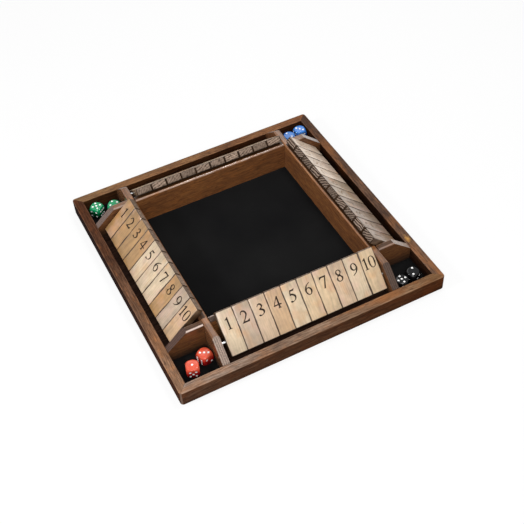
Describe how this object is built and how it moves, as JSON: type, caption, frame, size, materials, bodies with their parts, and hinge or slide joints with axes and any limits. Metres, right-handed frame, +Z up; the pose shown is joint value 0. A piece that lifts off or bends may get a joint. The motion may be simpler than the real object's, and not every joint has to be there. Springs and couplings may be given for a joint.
{
  "type": "shut the box game",
  "caption": "Square wooden dice game with a felt rolling tray, hinged number tiles along every side and a dice compartment in each corner.",
  "frame": {"origin": "middle of the underside of the square frame", "axes": "+Z up, +X to the right of the front player, who sits at -Y"},
  "size_m": [0.356, 0.356, 0.0557],
  "materials": {
    "walnut_stain_light": "satin lacquer over walnut stain",
    "walnut_stain_dark": "satin lacquer over dark walnut stain",
    "board_stain": "satin lacquer over warm brown stain",
    "panel_wood": "plain stained plywood",
    "tile_wood": "pale beech face with a thin lacquer",
    "black_felt": "short wool felt",
    "steel_rod": "bright drawn steel",
    "green_resin": "polished clear-tinted resin",
    "blue_resin": "polished clear-tinted resin",
    "red_resin": "polished clear-tinted resin",
    "black_resin": "polished resin"
  },
  "bodies": {
    "frame": {"frame_rail_front": "walnut_stain_light", "frame_rail_right": "walnut_stain_dark", "frame_rail_back": "walnut_stain_dark", "frame_rail_left": "walnut_stain_dark", "base_panel": "panel_wood", "felt_tray": "black_felt", "felt_corners": "black_felt", "divider_board_front": "board_stain", "divider_board_right": "board_stain", "divider_board_back": "board_stain", "divider_board_left": "board_stain", "tile_rods": "steel_rod"},
    "tile_front_1": {"tile_front_1": "tile_wood"},
    "tile_front_2": {"tile_front_2": "tile_wood"},
    "tile_front_3": {"tile_front_3": "tile_wood"},
    "tile_front_4": {"tile_front_4": "tile_wood"},
    "tile_front_5": {"tile_front_5": "tile_wood"},
    "tile_front_6": {"tile_front_6": "tile_wood"},
    "tile_front_7": {"tile_front_7": "tile_wood"},
    "tile_front_8": {"tile_front_8": "tile_wood"},
    "tile_front_9": {"tile_front_9": "tile_wood"},
    "tile_front_10": {"tile_front_10": "tile_wood"},
    "tile_right_1": {"tile_right_1": "tile_wood"},
    "tile_right_2": {"tile_right_2": "tile_wood"},
    "tile_right_3": {"tile_right_3": "tile_wood"},
    "tile_right_4": {"tile_right_4": "tile_wood"},
    "tile_right_5": {"tile_right_5": "tile_wood"},
    "tile_right_6": {"tile_right_6": "tile_wood"},
    "tile_right_7": {"tile_right_7": "tile_wood"},
    "tile_right_8": {"tile_right_8": "tile_wood"},
    "tile_right_9": {"tile_right_9": "tile_wood"},
    "tile_right_10": {"tile_right_10": "tile_wood"},
    "tile_back_1": {"tile_back_1": "tile_wood"},
    "tile_back_2": {"tile_back_2": "tile_wood"},
    "tile_back_3": {"tile_back_3": "tile_wood"},
    "tile_back_4": {"tile_back_4": "tile_wood"},
    "tile_back_5": {"tile_back_5": "tile_wood"},
    "tile_back_6": {"tile_back_6": "tile_wood"},
    "tile_back_7": {"tile_back_7": "tile_wood"},
    "tile_back_8": {"tile_back_8": "tile_wood"},
    "tile_back_9": {"tile_back_9": "tile_wood"},
    "tile_back_10": {"tile_back_10": "tile_wood"},
    "tile_left_1": {"tile_left_1": "tile_wood"},
    "tile_left_2": {"tile_left_2": "tile_wood"},
    "tile_left_3": {"tile_left_3": "tile_wood"},
    "tile_left_4": {"tile_left_4": "tile_wood"},
    "tile_left_5": {"tile_left_5": "tile_wood"},
    "tile_left_6": {"tile_left_6": "tile_wood"},
    "tile_left_7": {"tile_left_7": "tile_wood"},
    "tile_left_8": {"tile_left_8": "tile_wood"},
    "tile_left_9": {"tile_left_9": "tile_wood"},
    "tile_left_10": {"tile_left_10": "tile_wood"},
    "die_green_1": {"die_green_1": "green_resin"},
    "die_green_2": {"die_green_2": "green_resin"},
    "die_blue_1": {"die_blue_1": "blue_resin"},
    "die_blue_2": {"die_blue_2": "blue_resin"},
    "die_red_1": {"die_red_1": "red_resin"},
    "die_red_2": {"die_red_2": "red_resin"},
    "die_black_1": {"die_black_1": "black_resin"},
    "die_black_2": {"die_black_2": "black_resin"}
  },
  "joints": [
    {"name": "tile_front_1_flip", "type": "hinge", "parent": "frame", "child": "tile_front_1", "pos_m": [0, -0.1415, 0.0284], "axis": [1, 0, 0], "range_deg": [0, 140.3]},
    {"name": "tile_front_2_flip", "type": "hinge", "parent": "frame", "child": "tile_front_2", "pos_m": [0, -0.1415, 0.0284], "axis": [1, 0, 0], "range_deg": [0, 140.3]},
    {"name": "tile_front_3_flip", "type": "hinge", "parent": "frame", "child": "tile_front_3", "pos_m": [0, -0.1415, 0.0284], "axis": [1, 0, 0], "range_deg": [0, 140.3]},
    {"name": "tile_front_4_flip", "type": "hinge", "parent": "frame", "child": "tile_front_4", "pos_m": [0, -0.1415, 0.0284], "axis": [1, 0, 0], "range_deg": [0, 140.3]},
    {"name": "tile_front_5_flip", "type": "hinge", "parent": "frame", "child": "tile_front_5", "pos_m": [0, -0.1415, 0.0284], "axis": [1, 0, 0], "range_deg": [0, 140.3]},
    {"name": "tile_front_6_flip", "type": "hinge", "parent": "frame", "child": "tile_front_6", "pos_m": [0, -0.1415, 0.0284], "axis": [1, 0, 0], "range_deg": [0, 140.3]},
    {"name": "tile_front_7_flip", "type": "hinge", "parent": "frame", "child": "tile_front_7", "pos_m": [0, -0.1415, 0.0284], "axis": [1, 0, 0], "range_deg": [0, 140.3]},
    {"name": "tile_front_8_flip", "type": "hinge", "parent": "frame", "child": "tile_front_8", "pos_m": [0, -0.1415, 0.0284], "axis": [1, 0, 0], "range_deg": [0, 140.3]},
    {"name": "tile_front_9_flip", "type": "hinge", "parent": "frame", "child": "tile_front_9", "pos_m": [0, -0.1415, 0.0284], "axis": [1, 0, 0], "range_deg": [0, 140.3]},
    {"name": "tile_front_10_flip", "type": "hinge", "parent": "frame", "child": "tile_front_10", "pos_m": [0, -0.1415, 0.0284], "axis": [1, 0, 0], "range_deg": [0, 140.3]},
    {"name": "tile_right_1_flip", "type": "hinge", "parent": "frame", "child": "tile_right_1", "pos_m": [0.1415, 0, 0.0284], "axis": [0, 1, 0], "range_deg": [0, 140.3]},
    {"name": "tile_right_2_flip", "type": "hinge", "parent": "frame", "child": "tile_right_2", "pos_m": [0.1415, 0, 0.0284], "axis": [0, 1, 0], "range_deg": [0, 140.3]},
    {"name": "tile_right_3_flip", "type": "hinge", "parent": "frame", "child": "tile_right_3", "pos_m": [0.1415, 0, 0.0284], "axis": [0, 1, 0], "range_deg": [0, 140.3]},
    {"name": "tile_right_4_flip", "type": "hinge", "parent": "frame", "child": "tile_right_4", "pos_m": [0.1415, 0, 0.0284], "axis": [0, 1, 0], "range_deg": [0, 140.3]},
    {"name": "tile_right_5_flip", "type": "hinge", "parent": "frame", "child": "tile_right_5", "pos_m": [0.1415, 0, 0.0284], "axis": [0, 1, 0], "range_deg": [0, 140.3]},
    {"name": "tile_right_6_flip", "type": "hinge", "parent": "frame", "child": "tile_right_6", "pos_m": [0.1415, 0, 0.0284], "axis": [0, 1, 0], "range_deg": [0, 140.3]},
    {"name": "tile_right_7_flip", "type": "hinge", "parent": "frame", "child": "tile_right_7", "pos_m": [0.1415, 0, 0.0284], "axis": [0, 1, 0], "range_deg": [0, 140.3]},
    {"name": "tile_right_8_flip", "type": "hinge", "parent": "frame", "child": "tile_right_8", "pos_m": [0.1415, 0, 0.0284], "axis": [0, 1, 0], "range_deg": [0, 140.3]},
    {"name": "tile_right_9_flip", "type": "hinge", "parent": "frame", "child": "tile_right_9", "pos_m": [0.1415, 0, 0.0284], "axis": [0, 1, 0], "range_deg": [0, 140.3]},
    {"name": "tile_right_10_flip", "type": "hinge", "parent": "frame", "child": "tile_right_10", "pos_m": [0.1415, 0, 0.0284], "axis": [0, 1, 0], "range_deg": [0, 140.3]},
    {"name": "tile_back_1_flip", "type": "hinge", "parent": "frame", "child": "tile_back_1", "pos_m": [0, 0.1415, 0.0284], "axis": [-1, 0, 0], "range_deg": [0, 140.3]},
    {"name": "tile_back_2_flip", "type": "hinge", "parent": "frame", "child": "tile_back_2", "pos_m": [0, 0.1415, 0.0284], "axis": [-1, 0, 0], "range_deg": [0, 140.3]},
    {"name": "tile_back_3_flip", "type": "hinge", "parent": "frame", "child": "tile_back_3", "pos_m": [0, 0.1415, 0.0284], "axis": [-1, 0, 0], "range_deg": [0, 140.3]},
    {"name": "tile_back_4_flip", "type": "hinge", "parent": "frame", "child": "tile_back_4", "pos_m": [0, 0.1415, 0.0284], "axis": [-1, 0, 0], "range_deg": [0, 140.3]},
    {"name": "tile_back_5_flip", "type": "hinge", "parent": "frame", "child": "tile_back_5", "pos_m": [0, 0.1415, 0.0284], "axis": [-1, 0, 0], "range_deg": [0, 140.3]},
    {"name": "tile_back_6_flip", "type": "hinge", "parent": "frame", "child": "tile_back_6", "pos_m": [0, 0.1415, 0.0284], "axis": [-1, 0, 0], "range_deg": [0, 140.3]},
    {"name": "tile_back_7_flip", "type": "hinge", "parent": "frame", "child": "tile_back_7", "pos_m": [0, 0.1415, 0.0284], "axis": [-1, 0, 0], "range_deg": [0, 140.3]},
    {"name": "tile_back_8_flip", "type": "hinge", "parent": "frame", "child": "tile_back_8", "pos_m": [0, 0.1415, 0.0284], "axis": [-1, 0, 0], "range_deg": [0, 140.3]},
    {"name": "tile_back_9_flip", "type": "hinge", "parent": "frame", "child": "tile_back_9", "pos_m": [0, 0.1415, 0.0284], "axis": [-1, 0, 0], "range_deg": [0, 140.3]},
    {"name": "tile_back_10_flip", "type": "hinge", "parent": "frame", "child": "tile_back_10", "pos_m": [0, 0.1415, 0.0284], "axis": [-1, 0, 0], "range_deg": [0, 140.3]},
    {"name": "tile_left_1_flip", "type": "hinge", "parent": "frame", "child": "tile_left_1", "pos_m": [-0.1415, 0, 0.0284], "axis": [0, -1, 0], "range_deg": [0, 140.3]},
    {"name": "tile_left_2_flip", "type": "hinge", "parent": "frame", "child": "tile_left_2", "pos_m": [-0.1415, 0, 0.0284], "axis": [0, -1, 0], "range_deg": [0, 140.3]},
    {"name": "tile_left_3_flip", "type": "hinge", "parent": "frame", "child": "tile_left_3", "pos_m": [-0.1415, 0, 0.0284], "axis": [0, -1, 0], "range_deg": [0, 140.3]},
    {"name": "tile_left_4_flip", "type": "hinge", "parent": "frame", "child": "tile_left_4", "pos_m": [-0.1415, 0, 0.0284], "axis": [0, -1, 0], "range_deg": [0, 140.3]},
    {"name": "tile_left_5_flip", "type": "hinge", "parent": "frame", "child": "tile_left_5", "pos_m": [-0.1415, 0, 0.0284], "axis": [0, -1, 0], "range_deg": [0, 140.3]},
    {"name": "tile_left_6_flip", "type": "hinge", "parent": "frame", "child": "tile_left_6", "pos_m": [-0.1415, 0, 0.0284], "axis": [0, -1, 0], "range_deg": [0, 140.3]},
    {"name": "tile_left_7_flip", "type": "hinge", "parent": "frame", "child": "tile_left_7", "pos_m": [-0.1415, 0, 0.0284], "axis": [0, -1, 0], "range_deg": [0, 140.3]},
    {"name": "tile_left_8_flip", "type": "hinge", "parent": "frame", "child": "tile_left_8", "pos_m": [-0.1415, 0, 0.0284], "axis": [0, -1, 0], "range_deg": [0, 140.3]},
    {"name": "tile_left_9_flip", "type": "hinge", "parent": "frame", "child": "tile_left_9", "pos_m": [-0.1415, 0, 0.0284], "axis": [0, -1, 0], "range_deg": [0, 140.3]},
    {"name": "tile_left_10_flip", "type": "hinge", "parent": "frame", "child": "tile_left_10", "pos_m": [-0.1415, 0, 0.0284], "axis": [0, -1, 0], "range_deg": [0, 140.3]},
    {"name": "die_green_1_lift", "type": "slide", "parent": "frame", "child": "die_green_1", "axis": [0, 0, 1], "range_m": [0, 0.08]},
    {"name": "die_green_2_lift", "type": "slide", "parent": "frame", "child": "die_green_2", "axis": [0, 0, 1], "range_m": [0, 0.08]},
    {"name": "die_blue_1_lift", "type": "slide", "parent": "frame", "child": "die_blue_1", "axis": [0, 0, 1], "range_m": [0, 0.08]},
    {"name": "die_blue_2_lift", "type": "slide", "parent": "frame", "child": "die_blue_2", "axis": [0, 0, 1], "range_m": [0, 0.08]},
    {"name": "die_red_1_lift", "type": "slide", "parent": "frame", "child": "die_red_1", "axis": [0, 0, 1], "range_m": [0, 0.08]},
    {"name": "die_red_2_lift", "type": "slide", "parent": "frame", "child": "die_red_2", "axis": [0, 0, 1], "range_m": [0, 0.08]},
    {"name": "die_black_1_lift", "type": "slide", "parent": "frame", "child": "die_black_1", "axis": [0, 0, 1], "range_m": [0, 0.08]},
    {"name": "die_black_2_lift", "type": "slide", "parent": "frame", "child": "die_black_2", "axis": [0, 0, 1], "range_m": [0, 0.08]}
  ]
}
